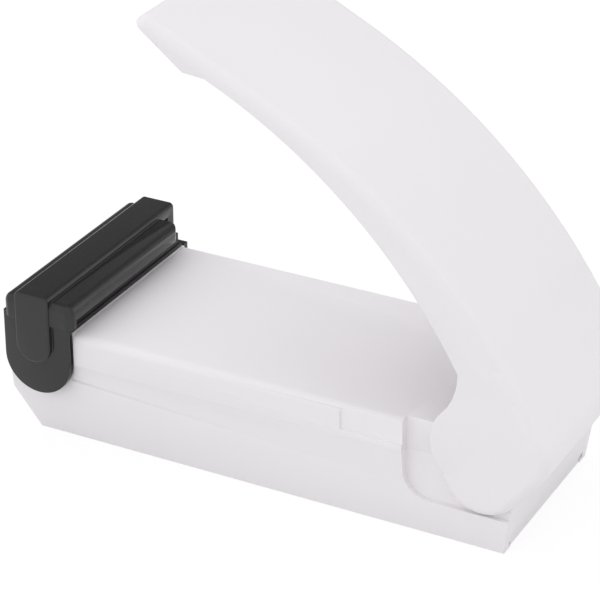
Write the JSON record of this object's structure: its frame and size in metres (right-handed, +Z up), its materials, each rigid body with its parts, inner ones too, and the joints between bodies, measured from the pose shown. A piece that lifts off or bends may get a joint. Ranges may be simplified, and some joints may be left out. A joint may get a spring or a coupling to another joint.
{
  "type": "bag neck sealer",
  "caption": "Hand-held heat sealer for bag necks: battery case with a hot bar under a flip-over cover, and a sprung arched press arm.",
  "frame": {"origin": "middle of the underside, on the resting plane", "axes": "+X towards the hinge, -X towards the hot bar, +Y across the bag's neck, +Z up out of the lid"},
  "size_m": [0.1071, 0.0456, 0.087],
  "materials": {
    "white_plastic": "satin moulded white",
    "black_plastic": "semi-gloss moulded black",
    "heater_resin": "matt black heat-resistant moulding",
    "bed_board": "matt pale heat-proof strip",
    "ribbon_metal": "bright resistance ribbon, slightly blued",
    "release_cloth": "brown non-stick coated glass cloth",
    "clamp_brass": "plain brass",
    "contact_nickel": "nickel plated",
    "spring_steel": "bright spring wire",
    "screw_zinc": "zinc plated",
    "pin_steel": "ground steel",
    "cell_jacket": "plain sleeve with bare metal ends",
    "lead_sleeve": "red sleeved lead",
    "pad_silicone": "off-white silicone"
  },
  "bodies": {
    "base": {"lower_case": "white_plastic", "upper_case": "white_plastic", "aa_cell_left": "cell_jacket", "aa_cell_right": "cell_jacket", "bridge_contact": "contact_nickel", "negative_contact": "contact_nickel", "positive_contact": "contact_nickel", "contact_springs": "spring_steel", "heater_frame": "heater_resin", "heater_bed": "bed_board", "heating_ribbon": "ribbon_metal", "release_tape": "release_cloth", "ribbon_clips": "clamp_brass", "lead_wires": "lead_sleeve", "case_screws": "screw_zinc", "frame_screws": "screw_zinc", "hinge_pin": "pin_steel", "torsion_spring": "spring_steel", "switch_leaf": "clamp_brass", "switch_contact": "clamp_brass"},
    "arm": {"arm_shell": "white_plastic", "arm_liner": "white_plastic", "liner_screws": "screw_zinc", "jaw_block": "white_plastic", "silicone_strip": "pad_silicone"},
    "cover": {"safety_cover": "black_plastic"},
    "door": {"battery_door": "white_plastic"}
  },
  "joints": [
    {"name": "arm_press", "type": "hinge", "parent": "base", "child": "arm", "pos_m": [0.045, 0, 0.015], "axis": [0, -1, 0], "range_deg": [0, 37.8], "stiffness_Nm_per_rad": 0.12, "springref_deg": -17.19, "deforming": ["torsion_spring"]},
    {"name": "cover_flip", "type": "hinge", "parent": "base", "child": "cover", "pos_m": [-0.0431, 0, 0.0162], "axis": [0, -1, 0], "range_deg": [0, 90]},
    {"name": "battery_door_slide", "type": "slide", "parent": "base", "child": "door", "axis": [1, 0, 0], "range_m": [0, 0.06]}
  ]
}
